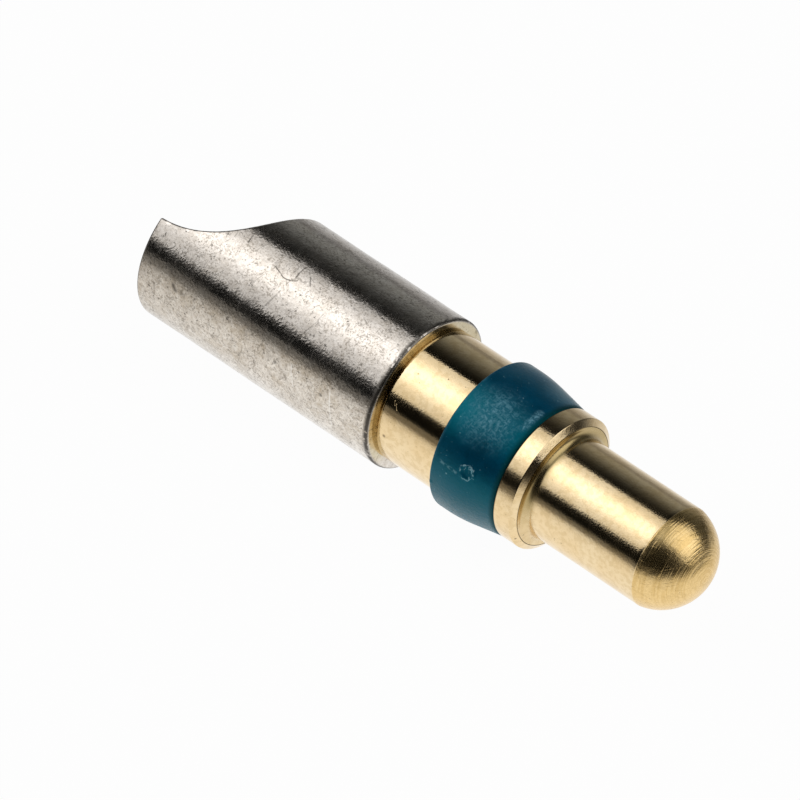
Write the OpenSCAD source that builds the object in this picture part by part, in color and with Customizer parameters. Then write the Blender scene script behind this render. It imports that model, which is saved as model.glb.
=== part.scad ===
// Power contact for a D-shaped connector: a turned pin, a solder cup pressed on its tail
// and a moulded ring that locks it in an insulator.
// The axis lies along X with the nose of the pin towards +X and Z is up. The origin is on the
// axis at the front face of the cup, which is the shoulder that seats against the insulator.
// The contact lies on its side with the mouth of the cup turned away from straight up.

/* [Solder cup] */
// Outer diameter of the cup
cup_d = 5.46; // [5.3:0.02:6.4]
// Length of the cup, from its front face to its open end
cup_len = 10.1; // [9:0.1:14]
// Thickness of the wall around the bore that takes the wire
cup_wall = 0.43; // [0.3:0.01:0.6]
// Depth of the wire bore, from the open end
wire_bore_depth = 8; // [6:0.1:8.6]
// Radius on the front rim of the cup
cup_rim_r = 0.1; // [0.02:0.01:0.2]
// Bevel on the outer edge of the open end
cup_end_bevel = 0.04; // [0.01:0.01:0.1]

/* [Cup mouth] */
// Radius of the arc that is milled across the mouth
mouth_r = 3.65; // [3.2:0.05:5]
// Length of the mouth along the top of the cup
mouth_len = 3.45; // [2.5:0.05:4.5]
// Height of the lowest point of the arc above the axis
mouth_floor = 0; // [-0.6:0.05:1]
// Turn of the mouth about the axis, from straight up, as the contact lies
mouth_turn = 56; // [0:1:90]

/* [Shaft] */
// Diameter of the shaft between the cup and the ring
shaft_d = 4.75; // [4.6:0.01:5]
// Free length of the shaft between the cup and the ring
shaft_len = 2.6; // [1.5:0.05:4]
// Bevel on the shoulder of the shaft that seats on the cup
shoulder_bevel = 0.12; // [0.02:0.01:0.2]
// Step from the wall of the wire bore down to the tail that is pressed into the cup
tail_step = 0.3; // [0.15:0.05:0.7]
// Bevel on the end of the tail
tail_bevel = 0.2; // [0.05:0.05:0.4]

/* [Retention ring] */
// Largest diameter of the ring
ring_d = 5.32; // [5.2:0.02:5.8]
// Length of the ring
ring_len = 2.48; // [2:0.02:3.2]
// Thickness of the ring at its straight band, above the groove that carries it
ring_wall = 0.66; // [0.5:0.02:0.9]
// Length of the straight band behind the taper
ring_land = 0.4; // [0.2:0.05:0.8]
// Half angle of the taper that leads the contact in
ring_taper = 10.3; // [6:0.1:12]
// Radius of the blend between the straight band and the taper
ring_blend_r = 5; // [1:0.5:6]
// Radius on the locking edge of the ring
ring_edge_r = 0.12; // [0.02:0.01:0.18]

/* [Collar] */
// Diameter of the collar in front of the ring
collar_d = 4.75; // [4.6:0.01:5]
// Length of the collar
collar_len = 0.82; // [0.6:0.02:1.6]
// Length of the bevel on the front edge of the collar
collar_bevel_len = 0.15; // [0.05:0.01:0.3]
// Depth of the bevel on the front edge of the collar
collar_bevel_depth = 0.22; // [0.05:0.01:0.3]

/* [Pin] */
// Diameter of the contact pin
pin_d = 3.6; // [3.2:0.02:3.8]
// Length of the pin, from the front face of the collar to the tip of the nose
pin_len = 6; // [4:0.1:12]
// Radius of the fillet where the pin grows out of the collar
root_fillet_r = 0.22; // [0.05:0.01:0.3]
// Length of the rounded nose
nose_len = 1.48; // [0.8:0.02:1.6]

/* [Hidden] */
$fn = 96;

// Number of chords in a rounded edge, fillet or nose
ARC_STEPS = 12;
// How far a cutting body stands past the faces that it opens
CUT_MARGIN = 1;

TIN = [0.72, 0.70, 0.67];
GOLD = [0.86, 0.70, 0.38];
PETROL = [0.02, 0.22, 0.32];

cup_r = cup_d / 2;
wire_bore_r = cup_r - cup_wall;
shaft_r = shaft_d / 2;
tail_r = wire_bore_r - tail_step;
ring_r = ring_d / 2;
groove_r = ring_r - ring_wall;
collar_r = collar_d / 2;
pin_r = pin_d / 2;

// Stations along the axis, counted from the front face of the cup
bore_end = wire_bore_depth - cup_len;
ring_start = shaft_len;
ring_end = ring_start + ring_len;
collar_end = ring_end + collar_len;
tip = collar_end + pin_len;

// Height of the milling axis and its place along the cup: the arc leaves the top of the cup
// at the stated length of the mouth
mouth_axis_z = mouth_floor + mouth_r;
mouth_axis_x = mouth_len - cup_len - sqrt(mouth_r ^ 2 - (mouth_axis_z - cup_r) ^ 2);

// The nose is a cap of a sphere that stands on the end of the pin and meets its side in a faint edge
nose_r = (pin_r ^ 2 + nose_len ^ 2) / (2 * nose_len);
nose_centre = tip - nose_r;
nose_from = acos(pin_r / nose_r);

// The blend on the ring turns from the straight band into the taper, which runs on to the collar
blend_centre = [ring_r - ring_blend_r, ring_start + ring_land];
blend_out = blend_centre + ring_blend_r * [cos(ring_taper), sin(ring_taper)];
taper_end_r = blend_out[0] - tan(ring_taper) * (ring_end - blend_out[1]);

// Points of an arc, as radius and station, between two angles counted from the radius
function arc(centre, r, from, to) = [
    for (i = [0 : ARC_STEPS])
        let (angle = from + (to - from) * i / ARC_STEPS)
        centre + r * [cos(angle), sin(angle)]
];

// Body of revolution about X from an outline of radius and station points
module turned(outline) {
    rotate([0, 90, 0])
        rotate_extrude()
            polygon(outline);
}

// Sleeve with a wire bore from the back and a smaller hole for the tail from the front
module cup_blank() {
    turned(concat(
        [[tail_r, 0]],
        arc([cup_r - cup_rim_r, -cup_rim_r], cup_rim_r, 90, 0),
        [
            [cup_r, cup_end_bevel - cup_len],
            [cup_r - cup_end_bevel, -cup_len],
            [wire_bore_r, -cup_len],
            [wire_bore_r, bore_end],
            [tail_r, bore_end]
        ]
    ));
}

// Round cutter whose axis crosses the cup above its open end
module mouth_cutter() {
    rotate([-mouth_turn, 0, 0])
        translate([mouth_axis_x, 0, mouth_axis_z])
            rotate([90, 0, 0])
                cylinder(r = mouth_r, h = cup_d + 2 * CUT_MARGIN, center = true);
}

module solder_cup() {
    color(TIN)
        difference() {
            cup_blank();
            mouth_cutter();
        }
}

// Tail, shaft, ring groove, collar and pin, turned in one piece
module contact_pin() {
    color(GOLD)
        turned(concat(
            [
                [0, bore_end],
                [tail_r - tail_bevel, bore_end],
                [tail_r, bore_end + tail_bevel],
                [tail_r, 0],
                [shaft_r - shoulder_bevel, 0],
                [shaft_r, shoulder_bevel],
                [shaft_r, ring_start],
                [groove_r, ring_start],
                [groove_r, ring_end],
                [collar_r, ring_end],
                [collar_r, collar_end - collar_bevel_len],
                [collar_r - collar_bevel_depth, collar_end]
            ],
            arc([pin_r + root_fillet_r, collar_end + root_fillet_r], root_fillet_r, 270, 180),
            arc([0, nose_centre], nose_r, nose_from, 90)
        ));
}

// Closed moulded ring: a locking edge at the back, a straight band and a taper to the collar
module retention_ring() {
    color(PETROL)
        turned(concat(
            [[groove_r, ring_start]],
            arc([ring_r - ring_edge_r, ring_start + ring_edge_r], ring_edge_r, 270, 360),
            arc(blend_centre, ring_blend_r, 0, ring_taper),
            [
                [taper_end_r, ring_end],
                [groove_r, ring_end]
            ]
        ));
}

solder_cup();
contact_pin();
retention_ring();
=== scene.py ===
"""Looks of a power contact for a D-shaped connector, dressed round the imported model.

Sizes are in millimetres and turn to metres where a mesh is made. The axis of the contact lies
along X with the nose towards +X, and an angle about the axis counts from +Z towards +Y.
"""

import math

import bpy
import numpy as np
from mathutils import Matrix, Vector


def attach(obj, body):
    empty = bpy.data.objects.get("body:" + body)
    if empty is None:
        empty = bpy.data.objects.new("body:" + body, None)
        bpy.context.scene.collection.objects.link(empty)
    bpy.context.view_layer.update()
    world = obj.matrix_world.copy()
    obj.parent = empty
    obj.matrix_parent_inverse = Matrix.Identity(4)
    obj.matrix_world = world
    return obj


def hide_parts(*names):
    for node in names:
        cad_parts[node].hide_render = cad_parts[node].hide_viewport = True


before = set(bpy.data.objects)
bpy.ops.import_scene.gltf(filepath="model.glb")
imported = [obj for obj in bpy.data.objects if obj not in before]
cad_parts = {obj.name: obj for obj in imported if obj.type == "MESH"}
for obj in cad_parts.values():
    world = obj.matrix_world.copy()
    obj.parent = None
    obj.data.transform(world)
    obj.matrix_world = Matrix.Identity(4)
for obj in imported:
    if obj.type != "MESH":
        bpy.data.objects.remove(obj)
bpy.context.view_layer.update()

MM = 0.001

# Solder cup
CUP_R = 2.73
CUP_LEN = 10.1
CUP_BORE_R = 2.3
BORE_FLOOR = -2.1
BORE_FOOT_R = 0.05
CUP_RIM_R = 0.1
LIP_ROUND = 0.07
MOUTH_R = 3.65
MOUTH_LEN = 3.45
MOUTH_TURN = 56.0
# The milling axis stands where its arc leaves the top of the cup at the length of the mouth
MILL_STATION = MOUTH_LEN - CUP_LEN - math.sqrt(MOUTH_R**2 - (MOUTH_R - CUP_R) ** 2)
# Widths of the dark bands on the cup's edges, partly grime and partly painted shade, and of the stretch
# beside them where knocks die out
EDGE_DARK_WIDTH = 0.06
RIM_DARK_WIDTH = 0.05
LIP_DARK_WIDTH = 0.1
KNOCK_FADE = 0.4

# Contact pin
TAIL_R = 2.0
TAIL_BEVEL = 0.2
SHAFT_R = 2.375
SHOULDER_BEVEL = 0.12
RING_START = 2.6
RING_END = 5.08
GROOVE_R = 2.0
COLLAR_R = 2.375
COLLAR_END = 5.9
COLLAR_BEVEL_LEN = 0.15
COLLAR_BEVEL_DEPTH = 0.22
TOOL_LINE_R = 2.105
TOOL_LINE_WIDTH = 0.07
TOOL_LINE_DEPTH = 0.003
TOOL_LINE_EDGE = 0.012
PIN_R = 1.8
ROOT_FILLET_R = 0.22
NOSE_START = 10.42
TIP = 11.9

# Retention ring
RING_R = 2.66
RING_EDGE_R = 0.05
RING_FRONT_EDGE_R = 0.09
RING_LAND = 0.4
RING_TAPER = 10.3
RING_BLEND_R = 5.0
GATE_STATION = 3.93
GATE_ANGLE = -66.4
GATE_R = 0.24
GATE_RIM_WIDTH = 0.06
GATE_DISH_WIDTH = 0.18
GATE_RISE = 0.014
BURR_STATION = 2.66
BURR_ANGLE = -91.0
BURR_LENGTH = 0.06
BURR_WIDTH = 0.07
BURR_RISE = 0.022
WAVE_RISE = 0.004

# Rounding of edges that are only broken, and of softer ones
EDGE_BREAK = 0.02
SOFT_EDGE = 0.03

# Camera, as its bearing from the object, and where the origin lies from the picture's middle
CAMERA_AZIMUTH = 42.757
CAMERA_ELEVATION = 46.07
CAMERA_DISTANCE = 336.2
CAMERA_LENS = 475.8
CAMERA_SENSOR = 36.0
ORIGIN_RIGHT = 0.804
ORIGIN_UP = 0.166

# Distance of the soft boxes
BOX_DISTANCE = 450

# Fineness of the meshes: columns round the axis, longest steps along an outline, and the
# distance of the rows that stand beside a rounded edge
CUP_COLUMNS = 416
PIN_COLUMNS = 360
RING_COLUMNS = 448
ROW_PITCH = 0.16
RING_PITCH = 0.035
SUPPORT = 0.012


# Shapes


def rounded(corners, steps=6, closed=False):
    """Outline with each corner rounded by an arc that touches both of its straight runs.

    A corner is a radius, a station and the radius of its arc, and the two ends of an open
    outline have no arc. With unit directions a and b from the corner to its neighbours and half
    the angle between them, the arc's middle lies on the bisector at radius over the sine of the
    half angle, and the arc starts and ends at radius over the tangent of it. Its points are the
    two end spokes mixed by sines. A point just outside each end of the arc keeps the straight
    run straight.
    """
    corners = np.asarray(corners, float)
    places = corners[:, :2]
    if closed:
        middle = places
        arc_r = corners[:, 2:]
        before = np.roll(places, 1, axis=0)
        after = np.roll(places, -1, axis=0)
    else:
        middle = places[1:-1]
        arc_r = corners[1:-1, 2:]
        before = places[:-2]
        after = places[2:]
    a = before - middle
    b = after - middle
    a /= np.linalg.norm(a, axis=1, keepdims=True)
    b /= np.linalg.norm(b, axis=1, keepdims=True)
    half = np.arccos(np.clip((a * b).sum(axis=1, keepdims=True), -1, 1)) / 2
    bisector = (a + b) / np.linalg.norm(a + b, axis=1, keepdims=True)
    centre = middle + bisector * arc_r / np.sin(half)
    start = middle + a * arc_r / np.tan(half)
    end = middle + b * arc_r / np.tan(half)
    sweep = (np.pi - 2 * half)[:, :, None]
    t = np.linspace(0, 1, steps + 1)[None, :, None]
    from_start = np.sin((1 - t) * sweep) * (start - centre)[:, None]
    from_end = np.sin(t * sweep) * (end - centre)[:, None]
    arcs = centre[:, None] + (from_start + from_end) / np.sin(sweep)
    before_arcs = (start + a * SUPPORT)[:, None]
    after_arcs = (end + b * SUPPORT)[:, None]
    outline = np.concatenate([before_arcs, arcs, after_arcs], axis=1).reshape(-1, 2)
    if closed:
        return np.vstack([outline, outline[:1]])
    return np.vstack([places[:1], outline, places[-1:]])


def divided(outline, pitch):
    """Outline with every run longer than the pitch cut into equal steps no longer than it."""
    step = np.diff(outline, axis=0)
    count = np.maximum(1, np.ceil(np.linalg.norm(step, axis=1) / pitch)).astype(int)
    run = np.repeat(np.arange(len(count)), count)
    first = np.cumsum(count) - count
    share = (np.arange(len(run)) - first[run]) / count[run]
    return np.vstack([outline[:-1][run] + share[:, None] * step[run], outline[-1:]])


def travelled(path):
    """Distance along a path from its first point to each of its points, a sum of straight steps."""
    return np.concatenate([[0], np.cumsum(np.linalg.norm(np.diff(path, axis=0), axis=1))])


def short_way(angle, middle):
    """Angle from a middle one, the short way round, between minus and plus half a turn."""
    return (angle - middle + np.pi) % (2 * np.pi) - np.pi


def placed(radius, station, angle):
    """Points at a radius, station and angle: y is radius times sine, z is radius times cosine."""
    radius, station, angle = np.broadcast_arrays(radius, station, angle)
    return np.stack([station, radius * np.sin(angle), radius * np.cos(angle)], axis=-1)


def turned(outline, columns):
    """Radius, station and angle of each point of an outline, carried once round the axis."""
    angle = np.linspace(0, 2 * np.pi, columns, endpoint=False)
    return np.broadcast_arrays(outline[:, :1], outline[:, 1:], angle[None, :])


def grid_quads(rows, columns, loop):
    """Quads of a grid that closes on itself round the axis, and along the rows if it is a loop.

    A point's number is its row times the count of columns plus its column, and the next row or
    column counts on from the last to the first.
    """
    row = np.arange(rows if loop else rows - 1)[:, None] * columns
    row_next = (row + columns) % (rows * columns)
    column = np.arange(columns)[None, :]
    column_next = (column + 1) % columns
    corners = [row + column, row_next + column, row_next + column_next, row + column_next]
    return np.stack(corners, axis=-1).reshape(-1, 4)


def new_object(name, points, faces):
    """Object at the origin from points in millimetres and faces, shaded smooth."""
    mesh = bpy.data.meshes.new(name)
    mesh.from_pydata(points * MM, [], faces)
    mesh.shade_smooth()
    made = bpy.data.objects.new(name, mesh)
    bpy.context.scene.collection.objects.link(made)
    return made


def mesh_piece(name, points, loop):
    """Object from a grid of points that runs along an outline and round the axis.

    The grid closes on itself round the axis, and along the outline as well where it is a loop.
    Otherwise its first and last rows are poles, and the points of each merge into one. Returns
    the object and the places in the grid that its vertices came from.
    """
    rows, columns = points.shape[:2]
    number = np.arange(rows * columns).reshape(rows, columns)
    if not loop:
        number[0] = number[0, 0]
        number[-1] = number[-1, 0]
    quads = number.ravel()[grid_quads(rows, columns, loop)]
    used, quads = np.unique(quads, return_inverse=True)
    quads = quads.reshape(-1, 4)
    first_pole = quads[:, 0] == quads[:, 3]
    last_pole = quads[:, 1] == quads[:, 2]
    faces = quads[~(first_pole | last_pole)].tolist()
    faces += quads[first_pole][:, [0, 1, 2]].tolist()
    faces += quads[last_pole][:, [0, 1, 3]].tolist()
    return new_object(name, points.reshape(-1, 3)[used], faces), used


def store(piece, name, values):
    """Keeps one number per vertex under a name that a finish can read."""
    layer = piece.data.attributes.new(name, "FLOAT", "POINT")
    layer.data.foreach_set("value", np.ascontiguousarray(values, dtype=np.float32))


def mouth_station(height):
    """Station at which the milled arc meets a given height above the axis plane of the mouth.

    The arc is a circle whose middle stands its radius above the axis plane, so the station is the
    middle's station plus the leg of a right triangle. Below the arc the wall ends at the open end.
    """
    leg = np.sqrt(np.maximum(MOUTH_R**2 - (MOUTH_R - np.maximum(height, 0)) ** 2, 0))
    return np.maximum(MILL_STATION + leg, -CUP_LEN)


def cup_angles():
    """Angles about the axis at equal steps along the lip of the cup, where it climbs the wall.

    A step along the lip is the root of the squared arc on the wall plus the squared station
    change, so columns crowd where the lip runs nearly straight along the tube. The fine angles
    crowd at the sides of the mouth, where the station climbs as a root.
    """
    spread = np.linspace(-1, 1, 8001)
    quarter = np.sign(spread) * spread**2 * np.pi / 2
    fine = np.concatenate([quarter[:-1] + np.pi / 2, quarter[:-1] + 3 * np.pi / 2])
    station = mouth_station(CUP_R * np.cos(fine))
    travel = travelled(np.stack([CUP_R * fine, station], axis=1))
    return np.interp(np.linspace(0, travel[-1], CUP_COLUMNS, endpoint=False), travel, fine)


def lip_softened(points):
    """Points of the sleeve near its milled lip and open end, drawn back on to rounded edges.

    Each limiting face, which is the wall, the bore, the milled arc or the open end, has an excess:
    how far a point stands outside it plus the edge radius, and no less than zero. The rounded
    surface is where the root of the summed squares of the excesses equals the radius, and a
    point outside it steps back along the slope of that root a few times.
    """
    points = points.copy()
    for _ in range(5):
        x, y, z = np.moveaxis(points, -1, 0)
        none = np.zeros_like(x)
        radius = np.hypot(y, z)
        reach = np.hypot(x - MILL_STATION, z - MOUTH_R)
        outside = np.stack([radius - CUP_R, CUP_BORE_R - radius, MOUTH_R - reach, -CUP_LEN - x])
        slope = np.stack([
            np.stack([none, y / radius, z / radius]),
            np.stack([none, -y / radius, -z / radius]),
            np.stack([MILL_STATION - x, none, MOUTH_R - z]) / reach,
            np.stack([none - 1, none, none]),
        ])
        excess = np.maximum(outside + LIP_ROUND, 0)
        root = np.maximum(np.linalg.norm(excess, axis=0), 1e-9)
        direction = (excess[:, None] * slope).sum(axis=0) / root
        over = np.maximum(root - LIP_ROUND, 0) / np.maximum((direction**2).sum(axis=0), 1e-9)
        points -= np.moveaxis(over * direction, 0, -1)
    return points


def dents(station, angle):
    """Depth of small knocks all over the sleeve: a sum of round bells at seeded places."""
    draw = np.random.default_rng(11)
    count = 90
    at_station = draw.uniform(-9.8, -0.4, (count, 1, 1))
    at_angle = draw.uniform(0, 2 * np.pi, (count, 1, 1))
    width = draw.uniform(0.12, 0.55, (count, 1, 1))
    depth = width * draw.uniform(0.004, 0.016, (count, 1, 1))
    away = (station - at_station) ** 2 + (CUP_R * short_way(angle, at_angle)) ** 2
    return (depth * np.exp(-away / width**2)).sum(axis=0)


def lip_rows(lip, close, far_end, share):
    """Stations of rows along the sleeve: a few close to the lip, then shares of the way to an end."""
    start = lip + close[-1]
    return np.vstack([lip + close, start + (far_end - start) * share])


def cup_grid():
    """Sleeve of the cup as a loop of rows: wall, rim, front face, tail hole, bore and milled lip.

    The rows of the outer wall and of the bore are shares of the way between the lip and the rim
    or the floor, so they follow the lip, with a few close rows where its edges are rounded. The
    lip itself lies on the milled arc at every radius. Returns the points, and how far each counts
    as an outer edge and as a turned face.
    """
    angle = cup_angles()[None, :]
    close = LIP_ROUND * np.array([0, 0.25, 0.5, 0.75, 1.0, 1.3])[:, None]
    lip_out = mouth_station(CUP_R * np.cos(angle))
    lip_in = mouth_station(CUP_BORE_R * np.cos(angle))
    wall_end = -CUP_RIM_R - SUPPORT
    bore_end = BORE_FLOOR - BORE_FOOT_R - SUPPORT
    wall_x = lip_rows(lip_out, close, wall_end, np.linspace(0, 1, 104)[1:, None] ** 1.3)
    bore_x = lip_rows(lip_in, close, bore_end, np.linspace(0, 1, 34)[1:, None] ** 1.4)[::-1]
    middle = np.linspace(CUP_BORE_R + close[-1, 0], CUP_R - close[-1, 0], 5)[1:-1, None]
    lip_r = np.vstack([CUP_BORE_R + close[1:], middle, CUP_R - close[:0:-1]])
    lip_x = mouth_station(lip_r * np.cos(angle))
    front = rounded(
        [
            [CUP_R, -1, 0],
            [CUP_R, 0, CUP_RIM_R],
            [TAIL_R, 0, EDGE_BREAK],
            [TAIL_R, BORE_FLOOR, EDGE_BREAK],
            [CUP_BORE_R, BORE_FLOOR, BORE_FOOT_R],
            [CUP_BORE_R, -4, 0],
        ],
        steps=7,
    )
    # The rows of the wall and the bore already hold the two points at each end of this outline
    front = divided(front[2:-2], ROW_PITCH)

    wall = lip_softened(placed(CUP_R, wall_x, angle))
    face = placed(front[:, :1], front[:, 1:], angle)
    bore = lip_softened(placed(CUP_BORE_R, bore_x, angle))
    lip = lip_softened(placed(lip_r, lip_x, angle))
    turn = math.radians(MOUTH_TURN)
    off_lip = np.clip((wall_x - lip_out) / KNOCK_FADE, 0, 1)
    off_rim = np.clip((wall_end - wall_x) / KNOCK_FADE, 0, 1)
    wall -= placed(dents(wall_x, angle + turn) * off_lip * off_rim, 0, angle)
    x, y, z = np.moveaxis(np.vstack([wall, face, bore, lip]), -1, 0)
    y_turned = y * math.cos(turn) + z * math.sin(turn)
    z_turned = z * math.cos(turn) - y * math.sin(turn)
    points = np.stack([x, y_turned, z_turned], axis=-1)

    # Share of each point in the dark bands along the lip, open end and rim, which the finish darkens
    # partly as grime and partly as painted shade
    from_arc = np.hypot(wall_x - MILL_STATION, CUP_R * np.cos(angle) - MOUTH_R) - MOUTH_R
    near_lip = np.clip(1.4 - np.minimum(from_arc, wall_x + CUP_LEN) / EDGE_DARK_WIDTH, 0, 1)
    near_rim = np.clip(1 - (wall_end - wall_x) / RIM_DARK_WIDTH, 0, 1)
    inwards = CUP_R - front[:, :1] + 0 * angle
    edge = np.vstack([
        np.maximum(near_lip, near_rim),
        np.clip(1.4 - inwards / EDGE_DARK_WIDTH, 0, 1),
        np.zeros_like(bore_x),
        np.clip(1 - (CUP_R - lip_r + 0 * angle) / LIP_DARK_WIDTH, 0, 1),
    ])
    turned_face = np.vstack([
        np.zeros_like(wall_x),
        np.clip((inwards - RIM_DARK_WIDTH) / RIM_DARK_WIDTH, 0, 1),
        np.ones_like(bore_x),
        np.zeros_like(lip_x),
    ])
    return points, edge, turned_face


def pin_outline():
    """Outline of the turned pin from the middle of its tail to the tip of its nose.

    The nose is a cap of a sphere whose radius follows from its height and the pin's radius. A
    fine tool line is cut in the front face of the collar.
    """
    body = rounded([
        [0, BORE_FLOOR, 0],
        [TAIL_R - TAIL_BEVEL, BORE_FLOOR, EDGE_BREAK],
        [TAIL_R, BORE_FLOOR + TAIL_BEVEL, EDGE_BREAK],
        [TAIL_R, 0, EDGE_BREAK],
        [SHAFT_R - SHOULDER_BEVEL, 0, EDGE_BREAK],
        [SHAFT_R, SHOULDER_BEVEL, SOFT_EDGE],
        [SHAFT_R, RING_START, EDGE_BREAK],
        [GROOVE_R, RING_START, EDGE_BREAK],
        [GROOVE_R, RING_END, EDGE_BREAK],
        [COLLAR_R, RING_END, SOFT_EDGE],
        [COLLAR_R, COLLAR_END - COLLAR_BEVEL_LEN, SOFT_EDGE],
        [COLLAR_R - COLLAR_BEVEL_DEPTH, COLLAR_END, EDGE_BREAK],
        [TOOL_LINE_R + TOOL_LINE_WIDTH / 2, COLLAR_END, TOOL_LINE_EDGE],
        [TOOL_LINE_R, COLLAR_END - TOOL_LINE_DEPTH, TOOL_LINE_EDGE],
        [TOOL_LINE_R - TOOL_LINE_WIDTH / 2, COLLAR_END, TOOL_LINE_EDGE],
        [PIN_R, COLLAR_END, ROOT_FILLET_R],
        [PIN_R, NOSE_START, 0],
    ])
    nose_len = TIP - NOSE_START
    nose_r = (PIN_R**2 + nose_len**2) / (2 * nose_len)
    swing = np.linspace(math.acos(PIN_R / nose_r), np.pi / 2, 45)
    nose = np.stack([nose_r * np.cos(swing), TIP - nose_r + nose_r * np.sin(swing)], axis=1)
    nose[-1, 0] = 0
    return divided(np.vstack([body[:-1], nose]), ROW_PITCH)


def collar_corner(radius, station):
    """How far a point lies in the corner of the collar: one there, and sloping to zero around it.

    The corner is the collar's front face inside its bevel, and the fillet and foot of the pin.
    """
    inside_bevel = np.clip((COLLAR_R - COLLAR_BEVEL_DEPTH + 0.01 - radius) / 0.03, 0, 1)
    before_pin = np.clip((COLLAR_END + ROOT_FILLET_R + 0.1 - station) / 0.14, 0, 1)
    return inside_bevel * before_pin * (station > RING_END + 0.1)


def ring_outline():
    """Closed outline of the moulded ring: back face, locking edge, band, taper, front and bore."""
    taper = math.radians(RING_TAPER)
    knee = RING_START + RING_LAND + RING_BLEND_R * math.tan(taper / 2)
    front_r = RING_R - (RING_END - knee) * math.tan(taper)
    outline = rounded(
        [
            [GROOVE_R, RING_START, EDGE_BREAK],
            [RING_R, RING_START, RING_EDGE_R],
            [RING_R, knee, RING_BLEND_R],
            [front_r, RING_END, RING_FRONT_EDGE_R],
            [GROOVE_R, RING_END, EDGE_BREAK],
        ],
        steps=10,
        closed=True,
    )
    return divided(outline, RING_PITCH)[:-1]


def moulding_marks(station, angle):
    """Height of the moulding marks on the ring: a broken-off gate, a burr and a slow waviness.

    The gate is a low uneven rim round a shallow dish. The burr is a small bell on the locking
    edge. The waviness is a sum of three slow sines round the ring.
    """
    along = station - GATE_STATION
    around = RING_R * short_way(angle, math.radians(GATE_ANGLE))
    away = np.hypot(along, around)
    uneven = 0.65 + 0.35 * np.sin(3 * np.arctan2(around, along) + 0.8)
    rim = GATE_RISE * uneven * np.exp(-(((away - GATE_R) / GATE_RIM_WIDTH) ** 2))
    dish = GATE_RISE * np.exp(-((away / GATE_DISH_WIDTH) ** 2))
    along_burr = (station - BURR_STATION) / BURR_LENGTH
    around_burr = RING_R * short_way(angle, math.radians(BURR_ANGLE)) / BURR_WIDTH
    burr = BURR_RISE * np.exp(-(along_burr**2 + around_burr**2))
    first_wave = np.sin(2 * angle + 0.4)
    second_wave = 0.6 * np.sin(5 * angle + 2.0 + station)
    third_wave = 0.4 * np.sin(9 * angle + 1.2 - 2 * station)
    return rim - dish + burr + WAVE_RISE * (first_wave + second_wave + third_wave - 2)


cup_points, cup_edge, cup_turned_face = cup_grid()
cup, used = mesh_piece("tin_plated_cup", cup_points, loop=True)
store(cup, "edge", cup_edge.ravel()[used])
store(cup, "turned_face", cup_turned_face.ravel()[used])

outline = pin_outline()
pin_radius, pin_station, pin_angle = turned(outline, PIN_COLUMNS)
pin, used = mesh_piece("gold_plated_pin", placed(pin_radius, pin_station, pin_angle), loop=False)
store(pin, "run", np.repeat(travelled(outline), PIN_COLUMNS)[used])
store(pin, "corner", collar_corner(pin_radius, pin_station).ravel()[used])

ring_radius, ring_station, ring_angle = turned(ring_outline(), RING_COLUMNS)
on_band = np.clip((ring_radius - GROOVE_R - 0.2) / 0.1, 0, 1)
ring_radius = ring_radius + on_band * moulding_marks(ring_station, ring_angle)
ring, used = mesh_piece("moulded_ring", placed(ring_radius, ring_station, ring_angle), loop=True)


# Finishes


def connect(tree, node, inputs):
    """Sets each named input of a node to a value, or links it to a socket."""
    for key, value in inputs.items():
        if isinstance(value, bpy.types.NodeSocket):
            tree.links.new(value, node.inputs[key])
        else:
            node.inputs[key].default_value = value


def add_node(tree, kind, inputs=None, **settings):
    """New node with its settings, and its inputs each set to a value or linked to a socket."""
    made = tree.nodes.new(kind)
    for key, value in settings.items():
        setattr(made, key, value)
    connect(tree, made, inputs or {})
    return made


def maths(tree, operation, *values):
    """Result of a sum on numbers or sockets."""
    return add_node(tree, "ShaderNodeMath", dict(enumerate(values)), operation=operation).outputs[0]


def times(tree, first, *others):
    """Product of several numbers or sockets."""
    product = first
    for other in others:
        product = maths(tree, "MULTIPLY", product, other)
    return product


def most(tree, values):
    """Greatest of several numbers or sockets."""
    greatest = values[0]
    for value in values[1:]:
        greatest = maths(tree, "MAXIMUM", greatest, value)
    return greatest


def vectors(tree, operation, *values):
    """Result of a sum on vectors, as a number where the sum gives one."""
    made = add_node(tree, "ShaderNodeVectorMath", dict(enumerate(values)), operation=operation)
    return made.outputs["Value" if operation in ("LENGTH", "DISTANCE", "DOT_PRODUCT") else "Vector"]


def scaled(tree, vector, share):
    """Vector times a number."""
    made = add_node(tree, "ShaderNodeVectorMath", {0: vector, "Scale": share}, operation="SCALE")
    return made.outputs["Vector"]


def parts(tree, vector):
    """Parts of a vector along X, Y and Z."""
    return add_node(tree, "ShaderNodeSeparateXYZ", {0: vector}).outputs


def eased(tree, value, low, high, start=0.0, end=1.0):
    """Value carried smoothly from start at low to end at high, and level outside."""
    limits = {"Value": value, "From Min": low, "From Max": high, "To Min": start, "To Max": end}
    return add_node(tree, "ShaderNodeMapRange", limits, interpolation_type="SMOOTHSTEP").outputs[0]


def near(tree, value, middle, width, peak=1.0):
    """Peak where a value equals the middle one, and smoothly zero at a width from it."""
    away = maths(tree, "ABSOLUTE", maths(tree, "SUBTRACT", value, middle))
    return eased(tree, away, 0, width, peak, 0)


def between(tree, share, first, second):
    """Number that goes from the first to the second with the share."""
    return add_node(tree, "ShaderNodeMix", {0: share, 2: first, 3: second}).outputs[0]


def mixed(tree, share, first, second):
    """Colour that goes from the first to the second with the share."""
    made = add_node(tree, "ShaderNodeMix", {0: share, 6: first, 7: second}, data_type="RGBA")
    return made.outputs[2]


def noise(tree, place, scale, detail=2.0, roughness=0.5, distortion=0.0):
    """Cloudy number about one half, with that many clouds to a millimetre."""
    settings = {
        "Vector": place,
        "Scale": scale,
        "Detail": detail,
        "Roughness": roughness,
        "Distortion": distortion,
    }
    return add_node(tree, "ShaderNodeTexNoise", settings).outputs[0]


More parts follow.
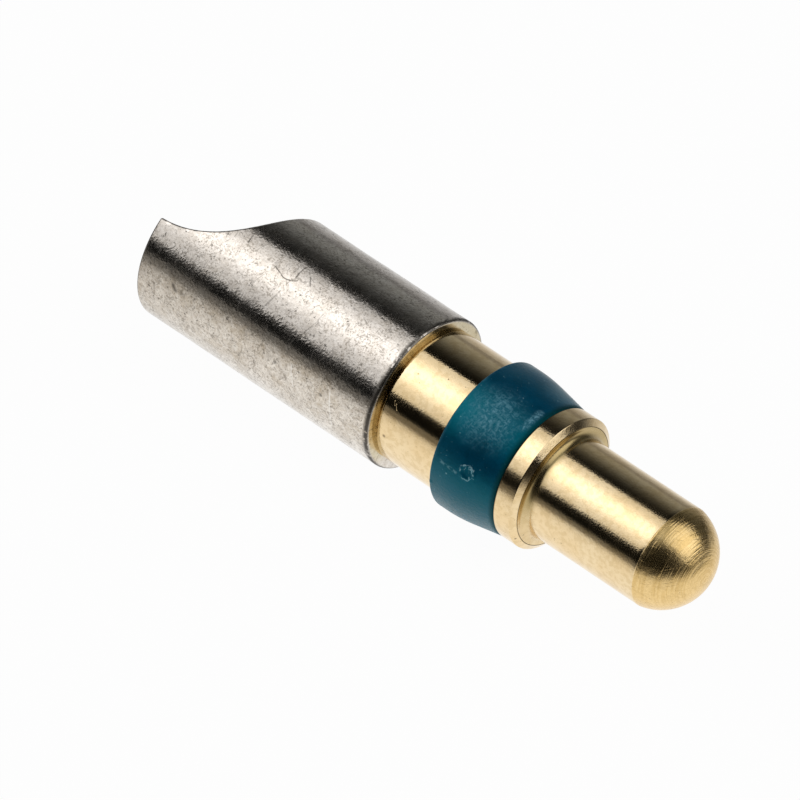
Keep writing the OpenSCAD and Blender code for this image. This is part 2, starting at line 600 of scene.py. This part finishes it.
def patches(tree, place, scale, low, high, start=0.0, end=1.0, detail=2.0, roughness=0.5):
    """Clouds carried from start where they are thin, at low, to end where they are thick, at high."""
    return eased(tree, noise(tree, place, scale, detail, roughness), low, high, start, end)


def millimetres(tree):
    """Place on the object in millimetres."""
    return scaled(tree, add_node(tree, "ShaderNodeTexCoord").outputs["Object"], 1 / MM)


def from_axis(tree, place):
    """Distance from the axis of the contact."""
    return vectors(tree, "LENGTH", vectors(tree, "MULTIPLY", place, (0, 1, 1)))


def attribute(tree, name):
    """Number that was kept on the vertices under a name."""
    return add_node(tree, "ShaderNodeAttribute", attribute_name=name).outputs["Fac"]


def at(radius, station, degrees):
    """Point on a turned surface at a radius, station and angle in degrees."""
    return tuple(float(v) for v in placed(radius, station, math.radians(degrees)))


def spot(tree, place, centre, size):
    """One at a centre and smoothly zero at its size away."""
    return eased(tree, vectors(tree, "DISTANCE", place, centre), 0, size, 1, 0)


def scratch(tree, place, start, end, width):
    """One along a straight scratch and smoothly zero at its width away.

    The nearest point of the scratch is its start plus its run times the share of the way along,
    which is the place's dot product with the run over the run's square, kept from zero to one.
    """
    run = [e - s for s, e in zip(start, end)]
    square = sum(r * r for r in run)
    from_start = vectors(tree, "SUBTRACT", place, start)
    along = vectors(tree, "DOT_PRODUCT", from_start, [r / square for r in run])
    share = add_node(tree, "ShaderNodeClamp", {0: along}).outputs[0]
    return spot(tree, place, vectors(tree, "ADD", scaled(tree, run, share), start), width)


def wall_scratches(tree, place, marks):
    """One along scratches on the cup's wall, each with the station and angle of its two ends."""
    return most(tree, [
        scratch(tree, place, at(CUP_R, *start), at(CUP_R, *end), width)
        for start, end, width in marks
    ])


def wandering(tree, place, scale, reach):
    """Place pushed about by slow clouds, so that straight marks drawn on it wander."""
    clouds = add_node(tree, "ShaderNodeTexNoise", {"Vector": place, "Scale": scale, "Detail": 2.0})
    push = vectors(tree, "SUBTRACT", clouds.outputs["Color"], (0.5, 0.5, 0.5))
    return vectors(tree, "MULTIPLY_ADD", push, (reach, reach, reach), place)


def brushed(tree, place, direction, across, along):
    """Place scaled finely across a direction and coarsely along it, for marks that run that way."""
    length = math.sqrt(sum(d * d for d in direction))
    unit = [d / length for d in direction]
    share = times(tree, vectors(tree, "DOT_PRODUCT", place, unit), along - across)
    return vectors(tree, "MULTIPLY_ADD", place, (across, across, across), scaled(tree, unit, share))


def thin_lines(tree, place, scale, width):
    """One along thin lines, the level lines of clouds, and zero between them."""
    return near(tree, noise(tree, place, scale, detail=1), 0.5, width)


def broken(tree, lines, place, scale, low, high):
    """Lines that are kept only where clouds are thick."""
    return times(tree, lines, patches(tree, place, scale, low, high, detail=3, roughness=0.6))


def relief(tree, height, depth):
    """Surface direction over a height from zero to one that stands for a depth in millimetres."""
    return add_node(tree, "ShaderNodeBump", {"Height": height, "Distance": depth * MM}).outputs["Normal"]


def new_material(name, kind):
    """Empty material with one shader of a kind linked to its output."""
    material = bpy.data.materials.new(name)
    material.use_nodes = True
    tree = material.node_tree
    tree.nodes.clear()
    shader = add_node(tree, kind)
    output = add_node(tree, "ShaderNodeOutputMaterial", {"Surface": shader.outputs[0]})
    return material, tree, shader, output


def tin_plate():
    """Tumbled tin plate: flaky satin grain, dark specks, hairlines, brown stains and dark edges.

    The front face and the bore are smoother, with fine turning rings in place of the grain. The
    lower wall is warmer and grittier. The edges are darkened, partly grimy and partly painted
    shade, less so and in broken patches near the top, where the rim shows the light. Painted
    shade darkens the top of the wall, and a painted reflection of the gold shaft tints the upper
    front face.
    """
    material, tree, shader, _ = new_material("tin_plate", "ShaderNodeBsdfPrincipled")
    place = millimetres(tree)
    split = parts(tree, place)
    edge = attribute(tree, "edge")
    turned_face = attribute(tree, "turned_face")
    on_wall = maths(tree, "SUBTRACT", 1.0, turned_face)

    grain_depth = patches(tree, place, 4, 0.3, 0.7, 0.4, 1.1)
    grain = times(tree, noise(tree, place, 13, detail=1), grain_depth)
    turning = {"X": times(tree, from_axis(tree, place), 20), "Y": times(tree, split["X"], 14)}
    turning_place = add_node(tree, "ShaderNodeCombineXYZ", turning).outputs[0]
    rings = noise(tree, turning_place, 1, detail=3, roughness=0.6)
    height = between(tree, turned_face, grain, times(tree, rings, 0.25))

    clouds = noise(tree, place, 0.8, detail=4, roughness=0.6)
    mottling = patches(tree, place, 5.5, 0.38, 0.64, detail=3, roughness=0.62)
    blotches = patches(tree, place, 2.4, 0.40, 0.62, detail=5, roughness=0.68)
    crowding = patches(tree, place, 1.5, 0.38, 0.6, 0.3, 1, detail=3)
    dots = times(tree, patches(tree, place, 14, 0.49, 0.63, roughness=0.6), crowding, on_wall)
    large_specks = patches(tree, place, 4.5, 0.64, 0.69, detail=4, roughness=0.7)
    small_specks = patches(tree, place, 9, 0.65, 0.71, roughness=0.6)
    low_band = times(
        tree,
        eased(tree, split["Z"], -1.0, 0.5, 0.55, 1.0),
        eased(tree, split["Z"], 0.9, 1.6, 1.0, 0.25),
    )
    stain_clouds = noise(tree, place, 1.3, detail=5, roughness=0.65, distortion=0.5)
    stains = times(tree, low_band, eased(tree, stain_clouds, 0.44, 0.66, 0, 0.42))
    grit_spots = most(tree, [
        patches(tree, place, 6, 0.53, 0.66, detail=3, roughness=0.65),
        patches(tree, place, 10, 0.52, 0.64, roughness=0.6),
    ])
    grit = times(tree, grit_spots, low_band, 0.38)

    wander = wandering(tree, place, 4.0, 0.12)
    dashes = broken(tree, thin_lines(tree, place, 5, 0.05), place, 6, 0.52, 0.6)
    long_lines = thin_lines(tree, brushed(tree, place, (0.35, 0.7, 0.6), 1.3, 0.2), 1, 0.016)
    fine_lines = broken(tree, long_lines, place, 2.6, 0.46, 0.56)
    hairlines = wall_scratches(tree, wander, [
        ((-5.68, -19.3), (-5.16, -22.3), 0.042),
        ((-5.16, -22.3), (-4.92, -21.7), 0.038),
        ((-4.92, -21.7), (-4.72, -19.3), 0.034),
        ((-4.84, -18.0), (-4.84, -13.4), 0.040),
        ((-4.84, -13.4), (-4.85, -7.8), 0.040),
        ((-4.46, -12.2), (-4.21, -16.8), 0.036),
        ((-7.10, -3.9), (-7.02, -15.5), 0.040),
    ])
    pale_rings = wall_scratches(tree, wander, [
        ((-3.41, -70), (-3.33, -78), 0.04),
        ((-3.33, -78), (-3.20, -86), 0.04),
        ((-1.73, -71), (-1.66, -80), 0.05),
        ((-1.66, -80), (-1.60, -90), 0.05),
        ((-1.60, -90), (-1.56, -99), 0.05),
    ])
    smudges = most(tree, [
        scratch(tree, wander, at(CUP_R, -8.62, -70), at(CUP_R, -8.48, -72.5), 0.13),
        spot(tree, wander, at(CUP_R, -4.06, -76), 0.10),
        spot(tree, wander, at(CUP_R, -2.08, -78), 0.10),
    ])
    # Edge darkening, partly grimy and partly painted shade: patchy all round, and lighter with gaps near
    # the top, where the rim shows the light
    edge_patches = patches(tree, place, 6, 0.54, 0.68, 1.0, 0.3, detail=3, roughness=0.65)
    edge_patches_at_top = patches(tree, place, 5, 0.46, 0.58, 0.85, 0.0, detail=3, roughness=0.65)
    edge_grime_and_shade = between(tree, eased(tree, split["Z"], 1.9, 2.4), edge_patches, edge_patches_at_top)
    dark = most(tree, [
        times(tree, hairlines, 0.85),
        times(tree, smudges, 0.75),
        times(tree, large_specks, 0.75),
        times(tree, small_specks, 0.6),
        times(tree, fine_lines, 0.4),
        times(tree, dashes, 0.45),
        times(tree, edge, edge_grime_and_shade),
    ])

    shade = eased(tree, clouds, 0.35, 0.65)
    plain = mixed(tree, shade, (0.93, 0.885, 0.82, 1), (0.89, 0.835, 0.765, 1))
    warmed = mixed(tree, times(tree, low_band, 0.3), plain, (0.78, 0.68, 0.53, 1))
    # Painted shade: the top of the wall is made darker, which dims the soft box's highlight on it
    top_shaded = mixed(tree, eased(tree, split["Z"], 0.8, 2.3), warmed, (0.75, 0.70, 0.645, 1))
    clouded = mixed(tree, times(tree, mottling, 0.32), top_shaded, (0.42, 0.37, 0.32, 1))
    blotched = mixed(tree, times(tree, blotches, 0.24), clouded, (0.40, 0.36, 0.31, 1))
    dotted = mixed(tree, times(tree, dots, 0.68), blotched, (0.24, 0.21, 0.175, 1))
    gritty = mixed(tree, grit, dotted, (0.40, 0.32, 0.235, 1))
    stained = mixed(tree, stains, gritty, (0.50, 0.41, 0.29, 1))
    # Painted reflection: the upper part of the front face is tinted olive gold, as where it mirrors the
    # gold shaft
    shaft_reflection_share = times(
        tree,
        turned_face,
        eased(tree, split["X"], -0.3, -0.1, 0, 0.55),
        eased(tree, split["Z"], -1.7, -0.9),
    )
    painted_shaft_reflection = mixed(tree, shaft_reflection_share, stained, (0.52, 0.43, 0.20, 1))
    lined = mixed(tree, times(tree, pale_rings, 0.9), painted_shaft_reflection, (0.90, 0.86, 0.80, 1))
    satin = eased(tree, clouds, 0.3, 0.7, 0.14, 0.19)
    connect(tree, shader, {
        "Base Color": mixed(tree, dark, lined, (0.09, 0.08, 0.068, 1)),
        "Metallic": 1.0,
        "Roughness": maths(tree, "MULTIPLY_ADD", dark, 0.25, satin),
        "Normal": relief(tree, height, 0.0043),
    })
    return material


def gold_plate():
    """Bright gold plate over turned brass, rougher in the corner of the collar.

    The nose is browner, with turning marks, a few deeper grooves and crossing scratches. Painted
    shade turns the corner of the collar olive and darker, most towards the top, and darkens the
    inner edge of the bevel, the groove under the ring and the back face of the collar.
    """
    material, tree, shader, _ = new_material("gold_plate", "ShaderNodeBsdfPrincipled")
    place = millimetres(tree)
    split = parts(tree, place)
    station = split["X"]
    run = attribute(tree, "run")
    corner = attribute(tree, "corner")
    nose = eased(tree, station, NOSE_START - 0.015, NOSE_START + 0.015)

    peel = noise(tree, place, 17)
    blotches = patches(tree, place, 5, 0.42, 0.62, detail=4, roughness=0.62)
    clouds = noise(tree, place, 0.7, detail=3, roughness=0.6)
    along_run = add_node(tree, "ShaderNodeCombineXYZ", {"X": run}).outputs[0]
    drift = vectors(tree, "MULTIPLY", place, (0, 0.9, 0.9))
    lathe = noise(tree, vectors(tree, "MULTIPLY_ADD", along_run, (15, 0, 0), drift), 1)
    groove_place = vectors(tree, "MULTIPLY_ADD", along_run, (4.2, 0, 0), drift)
    grooves = broken(tree, thin_lines(tree, groove_place, 1, 0.03), place, 1.8, 0.46, 0.60)
    # Station and width of each deeper groove, and the middle and reach of the stretch that shows
    marked = [
        (11.60, 0.020, (0.99, 11.61, -10), 1.3),
        (11.655, 0.012, (0.91, 11.66, 10), 0.8),
        (11.17, 0.022, (1.466, 11.17, -41), 0.8),
    ]
    deep_grooves = most(tree, [
        times(tree, near(tree, station, x, width), spot(tree, place, at(*middle), reach))
        for x, width, middle, reach in marked
    ])
    crossing = most(tree, [
        thin_lines(tree, brushed(tree, place, (0.88, 0.27, -0.39), 3.4, 0.12), 1, 0.04),
        thin_lines(tree, brushed(tree, place, (0.60, 0.70, 0.10), 2.8, 0.12), 1, 0.03),
    ])
    crossing = broken(tree, crossing, place, 2.0, 0.48, 0.58)
    cuts = most(tree, [times(tree, grooves, 0.4), deep_grooves, times(tree, crossing, 0.35)])
    lathe_depth = times(
        tree,
        patches(tree, place, 1.7, 0.35, 0.65, 1.0, 3.0),
        eased(tree, split["Z"], -0.9, 0.3, 0.2, 1.0),
    )
    turned_nose = maths(tree, "MULTIPLY_ADD", peel, 0.5, times(tree, lathe, lathe_depth))
    nose_height = maths(tree, "MULTIPLY_ADD", cuts, -1.0, turned_nose)
    nicks = most(tree, [
        scratch(tree, place, at(SHAFT_R, 0.44, -52.5), at(SHAFT_R, 0.50, -55), 0.03),
        scratch(tree, place, at(SHAFT_R, 0.54, -54), at(SHAFT_R, 0.63, -57.5), 0.03),
    ])
    peel_depth = eased(tree, station, RING_START, RING_END, 0.27, 0.40)
    peel_depth = maths(tree, "MULTIPLY_ADD", corner, -0.27, peel_depth)
    plain_height = maths(tree, "MULTIPLY_ADD", nicks, 0.8, times(tree, peel, peel_depth))
    height = between(tree, nose, plain_height, nose_height)

    shade = eased(tree, clouds, 0.35, 0.65)
    yellow = mixed(tree, shade, (0.90, 0.715, 0.44, 1), (0.87, 0.665, 0.38, 1))
    plain = mixed(tree, times(tree, blotches, 0.4), yellow, (0.64, 0.46, 0.22, 1))
    # Painted shade: the corner of the collar is olive and darker, more so towards the top
    olive = times(tree, corner, eased(tree, split["Z"], -0.4, 0.9, 0.2, 0.8))
    corner_shaded = mixed(tree, olive, plain, (0.40, 0.30, 0.12, 1))
    streak_depth = eased(tree, split["Z"], -1.0, 0.3, 0.14, 0.55)
    streaks = times(tree, eased(tree, lathe, 0.42, 0.6), streak_depth)
    brown = mixed(tree, streaks, (0.91, 0.66, 0.31, 1), (0.70, 0.47, 0.17, 1))
    speckle = patches(tree, place, 13, 0.40, 0.62, 0, 0.22, roughness=0.6)
    speckled = mixed(tree, speckle, brown, (0.52, 0.36, 0.13, 1))
    scratched = mixed(tree, times(tree, cuts, 0.5), speckled, (0.36, 0.23, 0.08, 1))
    colour = mixed(tree, nose, corner_shaded, scratched)

    specks = most(tree, [
        patches(tree, place, 8, 0.69, 0.75, detail=3, roughness=0.6),
        spot(tree, place, at(SHAFT_R, 0.40, -85), 0.10),
        spot(tree, place, at(SHAFT_R, 0.62, -25), 0.05),
        spot(tree, place, at(COLLAR_R - 0.1, COLLAR_END - 0.08, -111), 0.07),
    ])
    # Painted shade: a dark line where the bevel meets the collar's face, and darkness in the groove
    # under the ring and on the collar's back face
    bevel_shade_line = times(
        tree,
        near(tree, from_axis(tree, place), COLLAR_R - COLLAR_BEVEL_DEPTH, 0.025, 0.45),
        eased(tree, station, COLLAR_END - 0.03, COLLAR_END - 0.01),
    )
    crevice_shade = times(
        tree,
        eased(tree, station, RING_END - 0.2, RING_END - 0.1),
        eased(tree, station, RING_END + 0.015, RING_END + 0.05, 1, 0),
    )
    # Real specks, together with the painted shade of the bevel line and the gap behind the collar
    specks_and_shade = most(tree, [times(tree, specks, 0.85), bevel_shade_line, crevice_shade])
    bright = eased(tree, station, RING_START, RING_END, 0.08, 0.12)
    rough = maths(tree, "ADD", eased(tree, clouds, 0.3, 0.7, 0.0, 0.03), bright)
    rough = maths(tree, "MULTIPLY_ADD", nose, 0.12, rough)
    connect(tree, shader, {
        "Base Color": mixed(tree, specks_and_shade, colour, (0.14, 0.09, 0.04, 1)),
        "Metallic": 1.0,
        "Roughness": maths(tree, "MULTIPLY_ADD", corner, 0.14, rough),
        "Normal": relief(tree, height, 0.006),
    })
    return material


def ring_plastic():
    """Moulded petrol-blue plastic: satin, with scuffed clouds of fine strokes and pale nicks.

    The gate has a broken pale line round it, and painted shade darkens the front edge where it meets the
    collar.
    """
    material, tree, shader, _ = new_material("ring_plastic", "ShaderNodeBsdfPrincipled")
    place = millimetres(tree)
    split = parts(tree, place)
    station = split["X"]
    wander = wandering(tree, place, 3.0, 0.10)

    mottle = noise(tree, place, 1.6, detail=5, roughness=0.65)
    strokes = most(tree, [
        noise(tree, brushed(tree, place, (0.86, 0.11, -0.49), 14, 4), 1, roughness=0.6),
        noise(tree, brushed(tree, place, (0.17, 0.85, 0.49), 14, 4), 1, roughness=0.6),
    ])
    cloud = spot(tree, wander, at(2.55, 3.75, -22), 1.45)
    upper_cloud = spot(tree, wander, at(2.50, 4.45, 38), 0.9)
    streak = scratch(tree, wander, at(2.43, 4.79, -13.9), at(2.43, 4.77, 3.3), 0.20)
    scuffed = most(tree, [
        times(tree, cloud, eased(tree, mottle, 0.36, 0.56, 0.35, 1)),
        times(tree, upper_cloud, 0.35),
        streak,
    ])
    scuff = times(tree, scuffed, eased(tree, strokes, 0.48, 0.68, 0.28, 1.3))
    worn_edge = times(
        tree,
        eased(tree, station, RING_START + 0.03, RING_START + 0.14, 0.2, 0),
        patches(tree, place, 3, 0.35, 0.6, detail=3),
    )
    grime = times(
        tree,
        patches(tree, place, 7, 0.49, 0.60, detail=3, roughness=0.7),
        eased(tree, split["Z"], -2.3, 0.0, 0.95, 0),
    )
    light = most(tree, [times(tree, scuff, 0.85), worn_edge, grime])

    gate = at(2.585, GATE_STATION, GATE_ANGLE)
    from_gate = vectors(tree, "DISTANCE", wandering(tree, place, 5, 0.32), gate)
    in_gate = eased(tree, from_gate, 0.2, 0.3, 0.85, 0)
    gate_lines = most(tree, [
        near(tree, from_gate, 0.25, 0.05),
        times(tree, thin_lines(tree, place, 6, 0.1), in_gate),
    ])
    gate_scratch = scratch(tree, wander, at(2.65, 2.90, -69.2), at(2.62, 3.55, -70.5), 0.09)
    flecks = patches(tree, place, 9, 0.70, 0.76, roughness=0.6)
    nicks = most(tree, [
        broken(tree, gate_lines, place, 7, 0.42, 0.56),
        times(tree, broken(tree, gate_scratch, place, 8, 0.42, 0.58), 0.5),
        spot(tree, place, at(2.47, 4.69, -25.7), 0.05),
        spot(tree, place, at(2.64, 3.25, -75.4), 0.05),
        times(tree, flecks, 0.5),
    ])
    # Painted shade: the ring darkens towards its front edge, where it meets the collar, and is rougher
    # there
    crevice_shade = eased(tree, station, RING_END - 0.26, RING_END - 0.05)

    shade = eased(tree, mottle, 0.3, 0.7)
    plain = mixed(tree, shade, (0.0001, 0.037, 0.079, 1), (0.0002, 0.049, 0.107, 1))
    hazed = mixed(tree, light, plain, (0.155, 0.33, 0.43, 1))
    nicked = mixed(tree, nicks, hazed, (0.31, 0.55, 0.63, 1))
    satin = eased(tree, mottle, 0.3, 0.7, 0.28, 0.36)
    skin = noise(tree, place, 8, detail=4, roughness=0.7)
    skin = times(tree, skin, eased(tree, split["Z"], -1.6, 0.6, 2.6, 1.0))
    connect(tree, shader, {
        "Base Color": mixed(tree, crevice_shade, nicked, (0.0001, 0.003, 0.005, 1)),
        "Roughness": maths(tree, "MULTIPLY_ADD", most(tree, [light, crevice_shade]), 0.3, satin),
        "Specular IOR Level": 1.0,
        "Specular Tint": (0.0, 0.84, 1.0, 1),
        "Normal": relief(tree, skin, 0.009),
    })
    return material


cup.data.materials.append(tin_plate())
pin.data.materials.append(gold_plate())
ring.data.materials.append(ring_plastic())

for piece, node, slot in (
    (cup, "solder_cup", "tin_plate"),
    (pin, "contact_pin", "gold_plate"),
    (ring, "retention_ring", "ring_plastic"),
):
    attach(piece, "root")
    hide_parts(node)


# Studio


def floor_sheet():
    """White sheet under the contact: a disc whose outer part lifts with the square of the radius."""
    outer = 600.0
    flat = 250.0
    lift = 60.0
    radius = np.concatenate([[0], np.geomspace(1, outer, 60)])[:, None]
    angle = np.linspace(0, 2 * np.pi, 128, endpoint=False)[None, :]
    height = -CUP_R + lift * (np.maximum(radius - flat, 0) / (outer - flat)) ** 2
    points = np.stack([radius * np.cos(angle), radius * np.sin(angle), height + 0 * angle], axis=-1)
    quads = grid_quads(radius.size, angle.size, loop=False)
    sheet = new_object("floor_sheet", points.reshape(-1, 3), quads.tolist())
    return sheet


def white_paper():
    """Paper that a camera sees as white with a faint shadow, and that metal sees as a pool of light.

    The pool is one over one plus a sum of four falls, one to each side: the distance that way
    over its reach, raised to its power. It falls slowly to the front and soon at the back. What
    it lacks from one is partly made up by far paper, which is paler to the left, palest a little
    way behind the contact, and warm in front of it.
    """
    sides = (("X", 30.0, 3.8), ("X", -19.0, 3.0), ("Y", 11.8, 2.6), ("Y", -36.0, 1.8))
    seen_share = 0.97
    material, tree, glow, output = new_material("white_paper", "ShaderNodeEmission")
    path = add_node(tree, "ShaderNodeLightPath").outputs
    place = parts(tree, millimetres(tree))
    fall = 1.0
    for axis, reach, power in sides:
        away = most(tree, [maths(tree, "DIVIDE", place[axis], reach), 0.0])
        fall = maths(tree, "ADD", maths(tree, "POWER", away, power), fall)
    pool = maths(tree, "DIVIDE", 1.0, fall)
    far = times(
        tree,
        eased(tree, place["X"], -25, 25, 0.16, 0.02),
        eased(tree, place["Y"], 4, 16, 1.0, 2.5),
        eased(tree, place["Y"], 22, 80, 1.0, 0.55),
    )
    pool = maths(tree, "MULTIPLY_ADD", maths(tree, "SUBTRACT", 1.0, pool), far, pool)
    neutral = most(tree, [path["Is Camera Ray"], pool, eased(tree, place["Y"], -5, 8)])
    connect(tree, glow, {
        "Strength": between(tree, path["Is Camera Ray"], pool, 1.0),
        "Color": mixed(tree, neutral, (1.0, 0.95, 0.87, 1), (1, 1, 1, 1)),
    })
    paper = add_node(tree, "ShaderNodeBsdfDiffuse", {"Color": (0.9, 0.9, 0.9, 1)})
    mirrored = most(tree, [path["Is Glossy Ray"], path["Is Transmission Ray"]])
    seen = maths(tree, "MULTIPLY_ADD", path["Is Camera Ray"], seen_share, mirrored)
    shaders = {0: seen, 1: paper.outputs["BSDF"], 2: glow.outputs["Emission"]}
    mix = add_node(tree, "ShaderNodeMixShader", shaders)
    connect(tree, output, {"Surface": mix.outputs["Shader"]})
    return material


def bearing(azimuth, elevation):
    """Unit direction at an azimuth from the front towards +X and an elevation, in degrees."""
    a = math.radians(azimuth)
    e = math.radians(elevation)
    return Vector((math.sin(a) * math.cos(e), -math.cos(a) * math.cos(e), math.sin(e)))


def soft_box(name, azimuth, elevation, width, height, edge, hot, spread, rise):
    """Panel that faces the contact and glows most near its middle.

    The glow is the edge's strength plus a bell: e to the minus square of the distance from the
    hot middle over the spread. The hot middle lies a little above or below the panel's own.
    """
    direction = bearing(azimuth, elevation)
    corners = np.array([(-1, -1, 0), (1, -1, 0), (1, 1, 0), (-1, 1, 0)])
    panel = new_object(name, corners * [width / 2, height / 2, 0], [(0, 1, 2, 3)])
    facing = direction.to_track_quat("Z", "Y").to_matrix().to_4x4()
    panel.matrix_world = Matrix.Translation(direction * BOX_DISTANCE * MM) @ facing
    panel.visible_camera = False
    material, tree, glow, _ = new_material(name, "ShaderNodeEmission")
    away = vectors(tree, "DISTANCE", millimetres(tree), (0, rise, 0))
    square = maths(tree, "POWER", maths(tree, "DIVIDE", away, spread), 2.0)
    bell = maths(tree, "EXPONENT", times(tree, square, -1.0))
    connect(tree, glow, {"Strength": maths(tree, "MULTIPLY_ADD", bell, hot, edge)})
    panel.data.materials.append(material)
    return panel


def studio_world():
    """Dark room with a pale ceiling and a grey back wall, and white where the camera looks past it.

    Upwards the strength eases from the walls' to the ceiling's. At the back it eases from the
    floor's edge up into the dark, and is weaker to the right. In front a narrow glow follows
    the floor's edge and dies out to the right.
    """
    world = bpy.data.worlds.new("studio")
    world.use_nodes = True
    tree = world.node_tree
    tree.nodes.clear()
    path = add_node(tree, "ShaderNodeLightPath").outputs
    split = parts(tree, add_node(tree, "ShaderNodeTexCoord").outputs["Generated"])
    ceiling = eased(tree, split["Z"], 0.86, 0.98, 0.004, 0.48)
    back = times(
        tree,
        eased(tree, split["Y"], 0.1, 0.5),
        eased(tree, split["Z"], 0.0, 0.8, 0.31, 0.0),
        eased(tree, split["X"], -0.5, 0.2, 1.0, 0.2),
    )
    front = times(
        tree,
        eased(tree, split["Y"], -0.2, 0.3, 1, 0),
        eased(tree, split["Z"], 0.0, 0.17, 0.09, 0.0),
        eased(tree, split["X"], 0.3, 0.9, 1, 0),
    )
    room = maths(tree, "ADD", ceiling, maths(tree, "ADD", back, front))
    background = add_node(tree, "ShaderNodeBackground", {
        "Color": mixed(tree, path["Is Camera Ray"], (0.97, 1.0, 0.98, 1), (1, 1, 1, 1)),
        "Strength": between(tree, path["Is Camera Ray"], room, 1.0),
    })
    add_node(tree, "ShaderNodeOutputWorld", {"Surface": background.outputs["Background"]})
    return world


def photo_camera():
    """Camera that looks along its bearing, moved sideways so that the origin falls in its place."""
    towards = bearing(CAMERA_AZIMUTH, CAMERA_ELEVATION)
    right = Vector((0, 0, 1)).cross(towards).normalized()
    up = towards.cross(right)
    data = bpy.data.cameras.new("camera")
    data.lens = CAMERA_LENS
    data.sensor_width = CAMERA_SENSOR
    camera = bpy.data.objects.new("camera", data)
    place = towards * CAMERA_DISTANCE - right * ORIGIN_RIGHT - up * ORIGIN_UP
    facing = Matrix((right, up, towards)).transposed().to_4x4()
    camera.matrix_world = Matrix.Translation(place * MM) @ facing
    bpy.context.scene.collection.objects.link(camera)
    return camera


floor = floor_sheet()
floor.data.materials.append(white_paper())
soft_box(
    "soft_box_left",
    azimuth=-65,
    elevation=51,
    width=536,
    height=536,
    edge=0.8,
    hot=1.1,
    spread=145,
    rise=35,
)
soft_box(
    "soft_box_right",
    azimuth=116,
    elevation=42,
    width=450,
    height=585,
    edge=1.0,
    hot=0.4,
    spread=160,
    rise=-60,
)
bpy.context.scene.world = studio_world()
bpy.context.scene.camera = photo_camera()
bpy.context.scene.view_settings.view_transform = "Standard"
